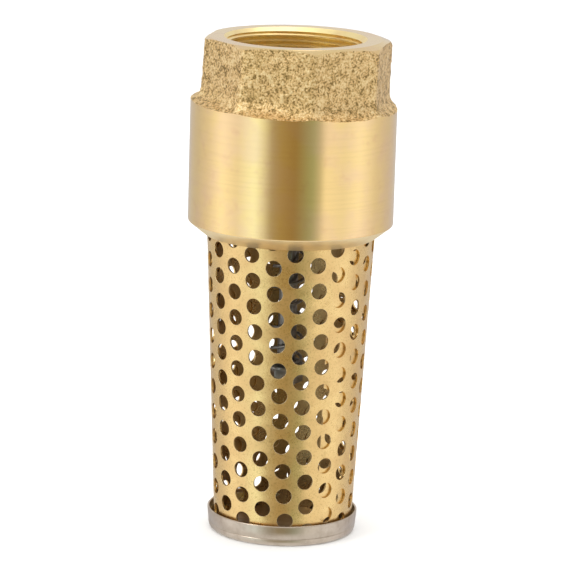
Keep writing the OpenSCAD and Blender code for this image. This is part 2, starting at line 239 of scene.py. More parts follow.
def pale_floor():
    """White paper under the valve: it takes the soft shadow, and brass doesn't mirror it."""
    bpy.ops.object.select_all(action="DESELECT")
    bpy.ops.mesh.primitive_circle_add(vertices=96, radius=6, fill_type="NGON")
    floor = bpy.context.object
    floor.name = "pale_floor"
    paper = bpy.data.materials.new("white_paper")
    paper.use_nodes = True
    sockets = paper.node_tree.nodes["Principled BSDF"].inputs
    sockets["Base Color"].default_value = (0.93, 0.93, 0.93, 1)
    sockets["Roughness"].default_value = 0.8
    floor.data.materials.append(paper)
    floor.visible_glossy = False


paper_light()
pale_floor()
print("room, two soft boxes and a floor")

# %% [markdown]
# ## Helpers for modelling
# Most of this valve is turned on a lathe. In Blender a lathe is a circle of points that is
# extruded and scaled, station after station, along an outline. The same few moves are needed
# again and again, so they are wrapped once.

# %% Modelling helpers
def only(piece):
    """Make one object the active and only selected one."""
    bpy.ops.object.select_all(action="DESELECT")
    piece.select_set(True)
    bpy.context.view_layer.objects.active = piece
    return piece


def edit(piece):
    only(piece)
    bpy.ops.object.mode_set(mode="EDIT")
    return piece


def done():
    bpy.ops.object.mode_set(mode="OBJECT")
    return bpy.context.object


def added(name):
    """Name the primitive that was just added, and start editing it."""
    piece = bpy.context.object
    piece.name = name
    piece.data.name = name
    return edit(piece)


def close_openings():
    """Fill every open ring, and turn all faces outwards."""
    bpy.ops.mesh.select_all(action="DESELECT")
    bpy.ops.mesh.select_non_manifold(extend=False)
    bpy.ops.mesh.fill_holes(sides=0)
    bpy.ops.mesh.select_all(action="SELECT")
    bpy.ops.mesh.normals_make_consistent(inside=False)


def turn(value, axis="Z", about=0):
    """Turn what is selected about a height on the valve's axis. With no window the sign flips."""
    bpy.ops.transform.rotate(value=value, orient_axis=axis, center_override=(0, 0, about * MM))


def extrude_up(step):
    """Extrude what is selected straight up, in millimetres."""
    bpy.ops.mesh.extrude_region_move(TRANSFORM_OT_translate={"value": (0, 0, step * MM)})


def turned(name, outline, steps=192, closed=False):
    """A lathe-turned piece from (radius, height) stations.

    An open outline gets flat ends, a closed one is a ring.
    """
    bpy.ops.object.select_all(action="DESELECT")
    r0, z0 = outline[0]
    bpy.ops.mesh.primitive_circle_add(vertices=steps, radius=r0 * MM)
    added(name)
    bpy.ops.transform.translate(value=(0, 0, z0 * MM))
    for r, z in outline[1:] + (outline[:1] if closed else []):
        extrude_up(z - z0)
        bpy.ops.transform.resize(value=(r / r0, r / r0, 1), center_override=(0, 0, z * MM))
        r0, z0 = r, z
    bpy.ops.mesh.select_all(action="SELECT")
    bpy.ops.mesh.remove_doubles(threshold=1e-7)
    if closed:
        bpy.ops.mesh.normals_make_consistent(inside=False)
    else:
        close_openings()
    return done()


def arc(centre, r, start, end, steps):
    """Stations along an arc in the radius and height plane, angles in degrees."""
    angles = [math.radians(start + (end - start) * i / steps) for i in range(steps + 1)]
    return [(centre[0] + r * math.cos(a), centre[1] + r * math.sin(a)) for a in angles]


def apply_modifier(piece, kind, **settings):
    only(piece)
    modifier = piece.modifiers.new(kind.lower(), kind)
    for key, value in settings.items():
        setattr(modifier, key, value)
    bpy.ops.object.modifier_apply(modifier=modifier.name)
    return piece


def carve(piece, tool, operation="DIFFERENCE"):
    """Boolean with a tool that is used up. Cut faces take the tool's material."""
    apply_modifier(piece, "BOOLEAN", object=tool, operation=operation, solver="MANIFOLD",
                   material_mode="TRANSFER")
    bpy.data.objects.remove(tool)
    return piece


def soften(piece, width=0.3, segments=2):
    """Break the sharp edges, as a file would."""
    return apply_modifier(piece, "BEVEL", width=width * MM, segments=segments, limit_method="ANGLE",
                          angle_limit=math.radians(38))


def smooth(piece, degrees=38):
    only(piece)
    bpy.ops.object.shade_smooth_by_angle(angle=math.radians(degrees))
    return piece


def finish(piece, body, material, node):
    """Give a piece its material and its body, and hide the CAD node that it stands for."""
    if not piece.data.materials:
        piece.data.materials.append(material)
    for i, skin in enumerate(piece.data.materials):
        if skin is None:
            piece.data.materials[i] = material
    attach(piece, body)
    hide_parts(node)
    print(piece.name, len(piece.data.polygons), "faces")
    return piece


# %% [markdown]
# ## Helpers for finishes
# A finish is a formula over the piece's own coordinates. The small class below wraps a shader
# socket, so that a formula can be written as plain arithmetic, and each sign adds its node.

# %% Shader helpers
class Wire:
    """A value inside a material that Python arithmetic can work on."""

    def __init__(self, paint, socket):
        self.paint, self.socket = paint, socket

    def __add__(self, other):
        return self.paint.maths("ADD", self, other)

    def __sub__(self, other):
        return self.paint.maths("SUBTRACT", self, other)

    def __rsub__(self, other):
        return self.paint.maths("SUBTRACT", other, self)

    def __mul__(self, other):
        return self.paint.maths("MULTIPLY", self, other)

    __radd__ = __add__
    __rmul__ = __mul__


class Paint:
    """One material: its nodes, and the few kinds of pattern that the valve's finishes need."""

    def __init__(self, name, **fixed):
        self.material = bpy.data.materials.new(name)
        self.material.use_nodes = True
        self.nodes = self.material.node_tree.nodes
        self.shader = self.nodes["Principled BSDF"]
        for key, value in fixed.items():
            self.shader.inputs[key.replace("_", " ")].default_value = value
        self.place = self.node("ShaderNodeTexCoord", out="Object")

    def plug(self, socket, value):
        if isinstance(value, Wire):
            self.material.node_tree.links.new(value.socket, socket)
        elif socket.type == "RGBA" and len(value) == 3:
            socket.default_value = (*value, 1)
        else:
            socket.default_value = value

    def node(self, kind, settings=None, inputs=None, out=0):
        """Any node: its settings, its sockets' values or links, and the output that is wanted."""
        node = self.nodes.new(kind)
        for key, value in (settings or {}).items():
            if key == "stops":
                ramp = node.color_ramp.elements
                while len(ramp) < len(value):
                    ramp.new(0.5)
                for element, (at, grey) in zip(ramp, value):
                    element.position = at
                    element.color = (grey, grey, grey, 1)
            else:
                setattr(node, key, value)
        for key, value in (inputs or {}).items():
            self.plug(node.inputs[key], value)
        return Wire(self, node.outputs[out])

    def maths(self, operation, a, b):
        return self.node("ShaderNodeMath", {"operation": operation}, {0: a, 1: b})

    def stretched(self, x, y, z):
        by = {0: self.place, 1: (x, y, z)}
        return self.node("ShaderNodeVectorMath", {"operation": "MULTIPLY"}, by)

    def noise(self, size, detail=3.0, rough=0.55):
        """Cloudy noise from 0 to 1 whose lumps are about size millimetres."""
        sockets = {"Vector": self.place, "Scale": 1 / (size * MM), "Detail": detail,
                   "Roughness": rough}
        return self.node("ShaderNodeTexNoise", inputs=sockets, out="Fac")

    def lines(self, pitch):
        """Fine rings around the axis, as a lathe tool leaves."""
        sockets = {"Vector": self.stretched(25, 25, 1 / (pitch * MM)), "Scale": 1.0, "Detail": 3.0}
        return self.node("ShaderNodeTexNoise", inputs=sockets, out="Fac")

    def ramp(self, value, *stops):
        return self.node("ShaderNodeValToRGB", {"stops": stops}, {0: value}, out="Color")

    def spots(self, size, share):
        """Small round marks, size millimetres across, in a share of the cells."""
        cells = {"Vector": self.place, "Scale": 1 / (size * 4 * MM)}
        away = self.node("ShaderNodeTexVoronoi", inputs=cells, out="Distance")
        chance = self.node("ShaderNodeTexVoronoi", inputs=cells, out="Color")
        inside = self.ramp(away, (0.06, 1), (0.14, 0))
        return inside * self.ramp(chance, (share, 1), (share + 0.02, 0))

    def mix(self, factor, a, b):
        return self.node("ShaderNodeMix", {"data_type": "RGBA"}, {0: factor, 6: a, 7: b}, out=2)

    def bump(self, height, strength, distance=0.1):
        sockets = {"Height": height, "Strength": strength, "Distance": distance * MM}
        self.plug(self.shader.inputs["Normal"], self.node("ShaderNodeBump", inputs=sockets))

    def surface(self, colour, roughness):
        self.plug(self.shader.inputs["Base Color"], colour)
        self.plug(self.shader.inputs["Roughness"], roughness)
        return self.material


# %% [markdown]
# ## Brass
# The same alloy looks different after each tool. The lathe leaves a satin shine with fine rings
# and a few pits from the casting. Sand leaves a dull grain; its high points are painted brighter
# as glints and its low points painted darker as shade. Rolled sheet is smooth but for a fine
# dimpling and small tarnished freckles. So there is one finish for each.

# %% Brass finishes
def turned_brass():
    paint = Paint("turned_brass", Metallic=1.0)
    rings = paint.lines(0.35)
    cloudy = paint.ramp(paint.noise(16, 4), (0.42, 0), (0.62, 1))
    stain = paint.ramp(paint.noise(6, 5, 0.65), (0.56, 0), (0.78, 1))
    gold = paint.mix(cloudy, (0.88, 0.64, 0.29), (0.86, 0.61, 0.33))
    gold = paint.mix(stain * 0.45, gold, (0.76, 0.46, 0.26))
    scores = paint.ramp(paint.lines(0.9), (0.34, 1), (0.50, 0))
    gold = paint.mix(scores * 0.10, gold, (0.66, 0.43, 0.18))
    gold = paint.mix(paint.spots(0.9, 0.06) * 0.75, gold, (0.36, 0.22, 0.10))
    paint.bump(rings, 0.09, 0.04)
    return paint.surface(gold, 0.115 + 0.07 * rings + 0.04 * cloudy)


def bore_brass_painted_light():
    paint = Paint("bore_brass_painted_light", Metallic=1.0)
    rings = paint.lines(0.5)
    cloudy = paint.ramp(paint.noise(8, 4), (0.40, 0), (0.66, 1))
    # Painted light: a rougher bored finish whose colour is painted lighter than the turned brass,
    # to light the shaded inside
    gold = paint.mix(cloudy, (1.0, 0.82, 0.42), (0.95, 0.74, 0.38))
    paint.bump(rings, 0.2, 0.06)
    return paint.surface(gold, 0.31 + 0.14 * rings)


def rim_cone_brass_painted_light():
    paint = Paint("rim_cone_brass_painted_light", Metallic=1.0)
    rings = paint.lines(0.4)
    cloudy = paint.ramp(paint.noise(5, 4), (0.40, 0), (0.66, 1))
    paint.bump(rings, 0.15, 0.06)
    # Painted light: the cone's brass is rougher, and its colour is painted lighter than the turned
    # brass for the light the cone catches
    gold = paint.mix(cloudy, (0.93, 0.76, 0.45), (0.88, 0.70, 0.42))
    return paint.surface(gold, 0.42 + 0.12 * rings)


def cast_brass():
    paint = Paint("cast_brass", Metallic=1.0)
    grain = paint.noise(0.9, 3, 0.6)
    lumps = paint.noise(3.4, 3, 0.6)
    heights = 0.62 * grain + 0.38 * lumps
    # Painted light: the grain's high points are painted brighter as glints, and its low points
    # painted darker as shade; the bump gives the relief
    painted_glints = paint.ramp(heights, (0.49, 0), (0.60, 1))
    painted_pit_shade = paint.ramp(heights, (0.40, 1), (0.50, 0))
    brass = paint.mix(paint.noise(9, 2), (0.70, 0.475, 0.19), (0.84, 0.555, 0.26))
    brass = paint.mix(painted_glints * 0.75, brass, (1.0, 0.82, 0.48))
    brass = paint.mix(painted_pit_shade * 0.9, brass, (0.20, 0.135, 0.045))
    paint.bump(heights, 1.0, 0.7)
    return paint.surface(brass, 0.34 + 0.26 * grain)


def sheet_brass(name, gold, worn, tarnish, roughness=0.22):
    paint = Paint(name, Metallic=1.0)
    peel = paint.noise(0.8, 3, 0.6)
    cloudy = paint.ramp(paint.noise(11, 4), (0.40, 0), (0.66, 1))
    stain = paint.ramp(paint.noise(4, 5, 0.7), (0.56, 0), (0.74, 1))
    freckles = paint.ramp(peel, (0.34, 1), (0.48, 0))
    colour = paint.mix(stain * 0.45, paint.mix(cloudy, gold, worn), tarnish)
    colour = paint.mix(freckles * 0.5, colour, tarnish)
    paint.bump(peel, 0.35, 0.12)
    return paint.surface(colour, roughness + 0.10 * cloudy + 0.08 * peel)


TURNED = turned_brass()
BORE_PAINTED_LIGHT = bore_brass_painted_light()
RIM_CONE_PAINTED_LIGHT = rim_cone_brass_painted_light()
CAST = cast_brass()
SHEET = sheet_brass("sheet_brass", (0.86, 0.61, 0.27), (0.80, 0.54, 0.235), (0.53, 0.355, 0.135))
# Painted highlight: a lighter, rougher copy of the sheet brass for the rims of the punched holes
SHEET_EDGE_HIGHLIGHT = sheet_brass(
    "sheet_brass_edge_highlight", (1.0, 0.86, 0.56), (0.96, 0.80, 0.50), (0.80, 0.62, 0.36), roughness=0.45)
# Painted shade: a darker copy of the sheet brass for the strainer's inner face
SHEET_INSIDE_SHADE = sheet_brass(
    "sheet_brass_inside_shade", (0.55, 0.38, 0.17), (0.46, 0.31, 0.14), (0.28, 0.19, 0.09))
print("brass:", [m.name for m in (TURNED, BORE_PAINTED_LIGHT, RIM_CONE_PAINTED_LIGHT, CAST, SHEET, SHEET_EDGE_HIGHLIGHT, SHEET_INSIDE_SHADE)])

# %% [markdown]
# ## Steel, bronze, rubber and solder
# The cap is thin drawn steel with a warm, slightly stained satin. The stem, its nuts and the
# spring are steel that is dark with oil, the bushes are porous bronze, and the seal and O-ring
# are black rubber with a dusty bloom.

# %% Other finishes
def drawn_steel():
    paint = Paint("drawn_steel", Metallic=1.0)
    rings = paint.lines(0.5)
    stain = paint.ramp(paint.noise(7, 5, 0.65), (0.45, 0), (0.70, 1))
    scuffs = paint.ramp(paint.noise(1.6, 4, 0.7), (0.56, 0), (0.68, 1))
    steel = paint.mix(stain, (0.58, 0.49, 0.40), (0.46, 0.375, 0.295))
    steel = paint.mix(scuffs * 0.35, steel, (0.66, 0.60, 0.52))
    paint.bump(rings, 0.12, 0.05)
    return paint.surface(steel, 0.26 + 0.12 * stain + 0.08 * rings)


def bright_steel():
    paint = Paint("bright_steel", Metallic=1.0)
    rings = paint.lines(0.3)
    wear = paint.ramp(paint.noise(4, 4), (0.45, 0), (0.65, 1))
    paint.bump(rings, 0.10, 0.04)
    steel = paint.mix(wear, (0.38, 0.365, 0.34), (0.26, 0.245, 0.225))
    return paint.surface(steel, 0.24 + 0.14 * rings)


def bush_bronze():
    paint = Paint("bush_bronze", Metallic=1.0)
    pores = paint.spots(0.25, 0.5)
    bronze = paint.mix(paint.noise(3), (0.55, 0.34, 0.17), (0.62, 0.40, 0.22))
    return paint.surface(paint.mix(pores * 0.6, bronze, (0.22, 0.13, 0.07)), 0.34 + 0.2 * pores)


def seal_rubber():
    paint = Paint("seal_rubber", Metallic=0.0, Specular_IOR_Level=0.4)
    bloom = paint.ramp(paint.noise(5, 5), (0.45, 0), (0.72, 1))
    paint.bump(paint.noise(0.6), 0.15, 0.1)
    black = paint.mix(bloom, (0.014, 0.014, 0.016), (0.045, 0.043, 0.040))
    return paint.surface(black, 0.48 + 0.2 * bloom)


def soft_solder():
    paint = Paint("soft_solder", Metallic=1.0)
    dull = paint.ramp(paint.noise(1.8, 4), (0.40, 0), (0.66, 1))
    paint.bump(paint.noise(0.9, 4), 0.5, 0.2)
    grey = paint.mix(dull, (0.78, 0.70, 0.44), (0.50, 0.45, 0.33))
    return paint.surface(grey, 0.28 + 0.3 * dull)


CAP_STEEL = drawn_steel()
STEEL = bright_steel()
BRONZE = bush_bronze()
RUBBER = seal_rubber()
SOLDER = soft_solder()
print("others:", [m.name for m in (CAP_STEEL, STEEL, BRONZE, RUBBER, SOLDER)])

# %% [markdown]
# ## The body's rough casting
# The body starts as a sand casting: an eight-sided block that flares into a round drum. It is one
# ring of points that begins as an octagon and is pulled towards a circle as it is extruded down.

# %% Casting
HALF_SIDE = math.radians(22.5)
CUTS = 15
CORNER_CUT = 1.3
SIDE_LENGTH_MIN = 10
CAST_TOP = TOP + 2
CAST_LOW = RIM - 12
# The casting sat a little askew in the lathe's chuck
CAST_LEAN = math.radians(2.0)
LEAN_ABOUT = TOP - 42


def octagon_ring(name):
    """A ring of evenly spread points around a rounded octagon, just above the outlet face."""
    bpy.ops.object.select_all(action="DESELECT")
    radius = OCTAGON_FLAT / math.cos(HALF_SIDE)
    bpy.ops.mesh.primitive_circle_add(vertices=8, radius=radius * MM)
    ring = added(name)
    turn(HALF_SIDE)
    bpy.ops.transform.translate(value=(0, 0, CAST_TOP * MM))
    bpy.ops.mesh.bevel(offset=CORNER_CUT * MM, segments=3, affect="VERTICES")
    bpy.ops.mesh.select_all(action="DESELECT")
    mesh = bmesh.from_edit_mesh(ring.data)
    for edge in mesh.edges:
        edge.select = edge.calc_length() > SIDE_LENGTH_MIN * MM
    bmesh.update_edit_mesh(ring.data)
    bpy.ops.mesh.subdivide(number_cuts=CUTS)
    bpy.ops.mesh.select_all(action="SELECT")
    return ring


# Each station: depth below the outlet face, growth against the ring above, pull towards a circle
SHOULDER = [
    (10, 1.003, 0), (18, 1.003, 0), (22.4, 1.004, 0.02), (24.4, 1.012, 0.06), (25.8, 1.022, 0.12),
    (27.2, 1.036, 0.25), (28.4, 1.050, 0.45), (29.6, 1.055, 0.7), (31.6, 1.035, 1), (35, 1, 1),
    (50, 1, 1), (70, 1, 1), (TOP - RIM, 1, 1), (TOP - CAST_LOW, 1, 1),
]


def casting_blank():
    ring = octagon_ring("valve_body")
    height = CAST_TOP
    for depth, growth, roundness in SHOULDER:
        z = TOP - depth
        extrude_up(z - height)
        bpy.ops.transform.resize(value=(growth, growth, 1), center_override=(0, 0, z * MM))
        if roundness:
            bpy.ops.transform.tosphere(value=roundness)
        height = z
    close_openings()
    turn(-CAST_LEAN, "Y", LEAN_ABOUT)
    return done()


casting = casting_blank()
casting.data.materials.append(CAST)
widest = max(v.co.xy.length for v in casting.data.vertices) / MM
print("casting drum radius", round(widest, 2), "mm")

# %% [markdown]
# The sand's grain is real relief, not paint: the casting is cut into cells of less than a
# millimetre, and two noise textures push them in and out. The larger one makes the skin lumpy,
# the finer one gritty.

# %% Sand-cast skin
def cloud(name, size, depth):
    texture = bpy.data.textures.new(name, "CLOUDS")
    texture.noise_scale = size * MM
    texture.noise_depth = depth
    return texture


def cut_rows(piece, low_z, high_z, rows):
    """Cut level rings through a piece between two heights in millimetres."""
    edit(piece)
    for i in range(rows):
        bpy.ops.mesh.select_all(action="SELECT")
        z = low_z + (high_z - low_z) * (i + 0.5) / rows
        bpy.ops.mesh.bisect(plane_co=(0, 0, z * MM), plane_no=(0, 0, 1))
    return done()


SIDES_LOW = TOP - 21.5
cut_rows(casting, SIDES_LOW, CAST_TOP, 20)
apply_modifier(casting, "SUBSURF", subdivision_type="SIMPLE", levels=1, render_levels=1)
apply_modifier(casting, "SMOOTH", factor=0.5, iterations=2)
for texture, strength in ((cloud("lumps", 3.2, 1), 0.5), (cloud("grit", 1.1, 2), 0.42)):
    apply_modifier(casting, "DISPLACE", texture=texture, strength=strength * MM,
                   texture_coords="LOCAL")
print("casting has", len(casting.data.polygons), "faces")

# %% [markdown]
# ## Turning the body
# The drum is turned in a lathe, and only what lies inside the lathe's outline is left. So the
# edge between the rough shoulder and the smooth barrel wanders, as on the real valve: it is where
# the tool met the skin. The bore is cut the same way, and then the thread, a three-sided groove
# that climbs around the axis.

# %% Lathe work
LATHE_STEPS = 256
FACE_R = 37.5
RIM_W = 7
# The rolled-in rim's cone meets the barrel in a small turned edge
EDGE_R = 1
EDGE_Z = RIM + 5.99
EDGE_TURN = 51.8
FLARE_AT = RIM + 2.5
THROAT_R = 26
THREAD_END = TOP - 19.5
THREAD_CREST = 0.35
THREAD_TURNS = 9
GROOVE = (THREAD_PITCH - THREAD_CREST) / 2
GROOVE_DEPTH = GROOVE / math.tan(math.radians(30))


def outside_limits():
    edge = arc((BARREL_R - EDGE_R, EDGE_Z), EDGE_R, -EDGE_TURN, 0, 6)
    return turned("outside_limits", [
        (BARREL_R - RIM_W, RIM), *edge, (BARREL_R, TOP - 60), (BARREL_R, TOP - 40),
        (BARREL_R, TOP - 20), (BARREL_R, TOP - 8), (FACE_R + 3.4, TOP - 1.3),
        (FACE_R + 0.2, TOP - 0.2), *arc((FACE_R - 0.5, TOP - 0.6), 0.6, 50, 90, 3),
        (FACE_R - 2, TOP),
    ], steps=LATHE_STEPS)


def waterway():
    bore, pocket, chamber = BARREL_R - 7.5, 41.5, 39.0
    ring_z, ring_r = GUIDE_ARM_Z - 1.7, chamber + 1.5
    return turned("waterway", [
        (bore, RIM - 3), (bore, FLARE_AT), (pocket, FLARE_AT + pocket - bore),
        (pocket, SEAT_SHOULDER), (chamber, SEAT_SHOULDER), (chamber, ring_z), (ring_r, ring_z),
        (ring_r, GUIDE_ARM_Z), (chamber, GUIDE_ARM_Z), (chamber, GUIDE_ARM_TOP),
        (chamber - 3, GUIDE_ARM_TOP), (THROAT_R, GUIDE_ARM_Z + chamber - (THROAT_R - 1)),
        (THROAT_R, THREAD_END), (CREST_R, THREAD_END), (CREST_R, TOP - 2.45), (30.65, TOP),
        (32.65, TOP + 2),
    ], steps=LATHE_STEPS)


def thread_groove(radius, half_width, depth, start, turns):
    """A three-sided tool that climbs around the axis, with its point outwards."""
    bpy.ops.object.select_all(action="DESELECT")
    bpy.ops.mesh.primitive_circle_add(vertices=3, radius=MM)
    tool = added("thread")
    bpy.ops.mesh.edge_face_add()
    over = 0.25
    base = half_width * (1 + over / depth)
    corners = [
        (radius - over, start - base), (radius + depth, start), (radius - over, start + base),
    ]
    mesh = bmesh.from_edit_mesh(tool.data)
    for vertex, (r, z) in zip(mesh.verts, corners):
        vertex.co = (r * MM, 0, z * MM)
    bmesh.update_edit_mesh(tool.data)
    bpy.ops.mesh.delete(type="ONLY_FACE")
    done()
    climb = 2 * half_width * MM + THREAD_CREST * MM
    apply_modifier(tool, "SCREW", angle=math.tau, screw_offset=climb, steps=128, render_steps=128,
                   iterations=turns, use_merge_vertices=False)
    edit(tool)
    close_openings()
    return done()


thread = thread_groove(CREST_R, GROOVE, GROOVE_DEPTH, THREAD_END - 1, THREAD_TURNS)
cuts = (
    (outside_limits(), TURNED, "INTERSECT"),
    (waterway(), BORE_PAINTED_LIGHT, "DIFFERENCE"),
    (thread, BORE_PAINTED_LIGHT, "DIFFERENCE"),
)
for tool, skin, operation in cuts:
    tool.data.materials.append(skin)
    carve(casting, tool, operation)
    print(operation.lower(), "leaves", len(casting.data.polygons), "faces")

# %% The rim's cone: a rougher brass that is painted lighter
CONE_TOP = RIM + 5.6
CONE_IN = BARREL_R - 7.2
casting.data.materials.append(RIM_CONE_PAINTED_LIGHT)
for face in casting.data.polygons:
    if face.center.z < CONE_TOP * MM and face.center.xy.length > CONE_IN * MM:
        face.material_index = len(casting.data.materials) - 1
smooth(casting, 40)
finish(casting, "housing", CAST, "body")

# %% [markdown]
# ## The strainer
# The real strainer begins as a flat sheet with punched holes in a staggered grid. It is cut to a
# fan shape and rolled into a cone until its ends lap, and that is how it is made here. Rolling a
# flat fan keeps the holes round and makes the columns lean more and more away from the one that
# follows the cone's side.

# %% Perforated flat sheet
TAPER = math.radians(2.74)
STRAINER_R = 36.6
SHEET_T = 0.9
HOLE_R = 3.5
ROW = 11.25
COLUMN = 9.61
ROWS, ROWS_BELOW = 19, 4
COLUMNS, COLUMNS_LEFT = 42, 18
FIRST_COLUMN = -1.27
FIRST_ROW = 3.8
MERGE = 1e-5
APEX_Z = RIM - STRAINER_R / math.tan(TAPER)
FAN_LOW = -APEX_Z / math.cos(TAPER)
# Angles around the valve from +X, in degrees: the upright column, the sheet's inner end, its lap
UPRIGHT_AT = -162.35
INNER_END = -47.9 - 360
LAP = 228
# How far the inner layer has slipped around, in degrees, and up, in millimetres
SLIP = -3.2
RISE = -3


def cell_edge(i):
    """Point i of 24 around the border of a hole's cell, from the middle of its right side."""
    side, step = divmod((i + 4) % 24, 12)
    if step <= 8:
        x, y = COLUMN / 2, (step - 4) * ROW / 8
    else:
        x, y = (10 - step) * COLUMN / 4, ROW / 2
    return (x, y) if side == 0 else (-x, -y)


def punched_cell(name, x, y):
    """One hole and the sheet around it."""
    bpy.ops.object.select_all(action="DESELECT")
    bpy.ops.mesh.primitive_circle_add(vertices=24, radius=HOLE_R * MM)
    cell = added(name)
    bpy.ops.mesh.extrude_region_move()
    mesh = bmesh.from_edit_mesh(cell.data)
    for vertex in mesh.verts:
        if vertex.select:
            i = round(math.degrees(math.atan2(vertex.co.y, vertex.co.x)) / 15)
            edge_x, edge_y = cell_edge(i % 24)
            vertex.co = (edge_x * MM, edge_y * MM, 0)
    bmesh.update_edit_mesh(cell.data)
    bpy.ops.mesh.select_all(action="SELECT")
    bpy.ops.transform.translate(value=(x * MM, y * MM, 0))
    return done()


def flat_sheet():
    x = FIRST_COLUMN - COLUMNS_LEFT * COLUMN
    y = FAN_LOW + FIRST_ROW - ROWS_BELOW * ROW
    sheet = punched_cell("strainer_sheet", x, y)
    neighbour = punched_cell("neighbour", x + COLUMN, y + ROW / 2)
    only(sheet)
    neighbour.select_set(True)
    bpy.ops.object.join()
    for offset, count in (((0, ROW * MM, 0), ROWS), ((2 * COLUMN * MM, 0, 0), COLUMNS // 2)):
        apply_modifier(sheet, "ARRAY", use_relative_offset=False, use_constant_offset=True,
                       count=count, constant_offset_displace=offset, use_merge_vertices=True,
                       merge_threshold=MERGE)
    edit(sheet)
    bpy.ops.mesh.select_all(action="SELECT")
    bpy.ops.mesh.remove_doubles(threshold=MERGE)
    return done()


sheet = flat_sheet()
print("flat sheet has", len(sheet.data.polygons), "faces")

# %% [markdown]
# The fan's two straight ends are cut by lines through its apex. Rolling then moves each point
# from its distance and angle in the fan to a height and an angle on the cone. The sheet goes
# around a little more than one and a half times. Where it laps, the inner layer lies one sheet
# further in, and its holes don't meet the outer ones.

# %% Cut the fan and roll it
def fan_angle(around):
    """Angle in the flat fan of a line that stands at this angle around the valve, in degrees."""
    return math.radians(around - UPRIGHT_AT) * math.sin(TAPER)


def cut_fan(piece):
    edit(piece)
    for around, keep in ((INNER_END + SLIP, 1), (INNER_END + 360 + LAP, -1)):
        bpy.ops.mesh.select_all(action="SELECT")
        a = fan_angle(around)
        across = (keep * math.cos(a), -keep * math.sin(a), 0)
        bpy.ops.mesh.bisect(plane_co=(0, 0, 0), plane_no=across, clear_inner=True)
    return done()


def ease(x):
    """Smooth step from 0 to 1."""
    x = min(max(x, 0), 1)
    return x * x * (3 - 2 * x)


FLARE = math.radians(45)
LAYER_GAP = 0.08
# The inner layer steps out to the outer one within this many degrees
STEP_OUT = 35


def roll(piece):
    for vertex in piece.data.vertices:
        around = UPRIGHT_AT + math.degrees(math.atan2(vertex.co.x, vertex.co.y)) / math.sin(TAPER)
        inner = 1 - ease((around - INNER_END - LAP - 2) / STEP_OUT)
        around -= SLIP * inner
        along = math.hypot(vertex.co.x, vertex.co.y) / MM + RISE * inner
        z = APEX_Z + along * math.cos(TAPER)
        r = along * math.sin(TAPER) - (SHEET_T + LAYER_GAP) * inner
        if z > FLARE_AT:
            r += (z - FLARE_AT) * math.sin(FLARE)
            z = FLARE_AT + (z - FLARE_AT) * math.cos(FLARE)
        a = math.radians(around)
        vertex.co = (r * math.cos(a) * MM, r * math.sin(a) * MM, z * MM)


def trim_ends(piece, low_z, high_z):
    edit(piece)
    for z, up in ((low_z, 1), (high_z, -1)):
        bpy.ops.mesh.select_all(action="SELECT")
        bpy.ops.mesh.bisect(plane_co=(0, 0, z * MM), plane_no=(0, 0, up), clear_inner=True)
    return done()


CAP_FLOOR = 1.05
cut_fan(sheet)
roll(sheet)
trim_ends(sheet, CAP_FLOOR, high("strainer_screen") - SHEET_T)
edit(sheet)
bpy.ops.mesh.select_all(action="SELECT")
bpy.ops.mesh.normals_make_consistent(inside=False)
face = bmesh.from_edit_mesh(sheet.data).faces[:][0]
if face.normal.xy.dot(face.calc_center_median().xy) < 0:
    bpy.ops.mesh.flip_normals()
done()
print("rolled sheet has", len(sheet.data.polygons), "faces")

# %% Thickness and punched edges
for skin in (SHEET, SHEET_INSIDE_SHADE, SHEET_EDGE_HIGHLIGHT):
    sheet.data.materials.append(skin)
# The solidified inner face takes the painted-shade copy of the sheet brass
apply_modifier(sheet, "SOLIDIFY", thickness=SHEET_T * MM, offset=-1, material_offset=1)
# The bevelled rims of the holes take the painted-highlight copy of the sheet brass
apply_modifier(sheet, "BEVEL", width=0.42 * MM, segments=1, limit_method="ANGLE",
               angle_limit=math.radians(50), material=2)
smooth(sheet, 30)
finish(sheet, "housing", SHEET, "strainer_screen")

# %% [markdown]
# ## The cap
# The cap is a shallow drawn cup: a flat floor, a small rounded corner, and a wall that stands a
# little away from the strainer and ends in a rounded lip. A shallow line runs around it where the
# drawing die ended.

# %% Cap
def cap_cup():
    lip_z = high("strainer_cap")
    lip_r = reach("strainer_cap")
    side_r = lip_r - 0.6
    corner = 2.2
    base_r = side_r - corner
    return turned("cap_cup", [
        (base_r - 6, 0.25), (base_r - 4.5, 0), (base_r, 0),
        *arc((base_r, corner), corner, 285, 360, 5),
        (side_r + 0.06, 2.9), (side_r - 0.1, 3.1), (side_r + 0.08, 3.3), (lip_r - 0.2, lip_z - 3),
        *arc((lip_r - 0.5, lip_z - 0.5), 0.5, 0, 180, 6), (side_r - 0.75, lip_z - 3),
        (side_r - 1, corner + 0.2), *arc((base_r, corner), corner - 1, 0, -90, 3),
        (base_r - 6, 1),
    ])


finish(smooth(cap_cup()), "housing", CAP_STEEL, "strainer_cap")

# %% Solder ring
def solder_ring():
    high_z = high("cap_solder")
    low_z = low("cap_solder")
    ring = turned("solder_ring", [
        (30.55, low_z), (31.05, low_z), (31.35, high_z - 1.5), (31.45, high_z),
        (31.0, high_z + 0.3), (30.85, high_z - 0.4), (30.75, high_z - 2),
    ], steps=160, closed=True)
    apply_modifier(ring, "DISPLACE", texture=cloud("solder_lumps", 2.5, 1), strength=0.25 * MM,
                   texture_coords="LOCAL")
    return ring


finish(smooth(solder_ring(), 60), "housing", SOLDER, "cap_solder")

# %% [markdown]
# ## What is inside
# Through the mouth one sees the three-armed guide, the end of the stem, the spring and the disc,
# and through the holes of the strainer the lower guide. They are modelled as the machinist would
# make them.

